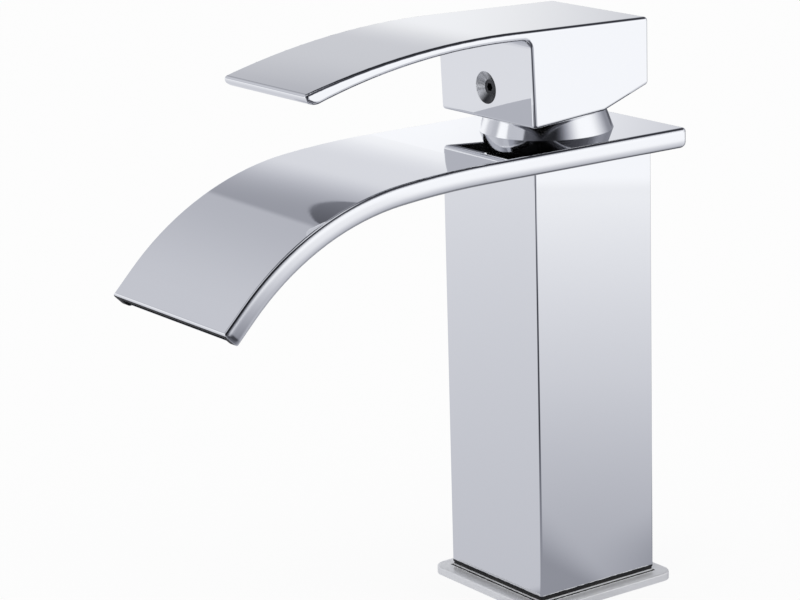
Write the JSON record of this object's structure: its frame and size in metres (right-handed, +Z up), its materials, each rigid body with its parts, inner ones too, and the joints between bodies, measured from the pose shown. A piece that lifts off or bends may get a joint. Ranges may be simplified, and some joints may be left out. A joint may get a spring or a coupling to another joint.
{
  "type": "waterfall basin faucet",
  "caption": "Single-lever waterfall basin faucet: square column on a base plate, flat hollow spout curving down to a slot outlet, and a hollow block handle with a long flat lever.",
  "frame": {"origin": "centre of the tap hole: on the column's axis, in the deck face that the base plate rests on", "axes": "+Z up along the column, -Y forward along the spout towards the basin, +X to the right of a person who faces the spout"},
  "size_m": [0.0638, 0.1779, 0.241],
  "materials": {
    "chrome": "polished chrome plate, mirror bright",
    "brass": "turned, bare",
    "black_rubber": "moulded, matt",
    "alumina": "ground and lapped",
    "grey_plastic": "moulded, fine texture",
    "white_plastic": "moulded, fine texture",
    "steel": "turned stainless steel",
    "zinc_steel": "pressed, zinc plated"
  },
  "bodies": {
    "faucet_body": {"base_plate": "chrome", "deck_gasket": "black_rubber", "column_gasket": "black_rubber", "body_column": "chrome", "spout_shell": "chrome", "spout_under_plate": "chrome", "cartridge_base": "white_plastic", "port_seals": "black_rubber", "cartridge_housing": "grey_plastic", "fixed_ceramic_disc": "alumina", "cartridge_lock_nut": "brass", "collar_ring": "black_rubber", "collar": "chrome", "mounting_studs": "zinc_steel", "clamp_gasket": "black_rubber", "clamp_washer": "zinc_steel", "stud_nuts": "brass"},
    "turning_core": {"rotor": "white_plastic", "rotor_seal": "black_rubber", "stem_pin": "steel"},
    "sliding_disc": {"disc_carrier": "white_plastic", "moving_ceramic_disc": "alumina"},
    "lever_handle": {"handle": "chrome", "stem": "steel", "handle_set_screw": "steel"}
  },
  "joints": [
    {"name": "handle_swivel", "type": "hinge", "parent": "faucet_body", "child": "turning_core", "pos_m": [0, 0, 0.1425], "axis": [0, 0, 1], "range_deg": [-45, 45]},
    {"name": "handle_lift", "type": "hinge", "parent": "turning_core", "child": "lever_handle", "pos_m": [0, 0, 0.1425], "axis": [-1, 0, 0], "range_deg": [0, 25]},
    {"name": "disc_slide", "type": "slide", "parent": "turning_core", "child": "sliding_disc", "axis": [0, -1, 0], "range_m": [0, 0.0057]}
  ],
  "couplings": [
    {"joint": "disc_slide", "follows": "handle_lift", "m_per_rad": 0.01275}
  ]
}
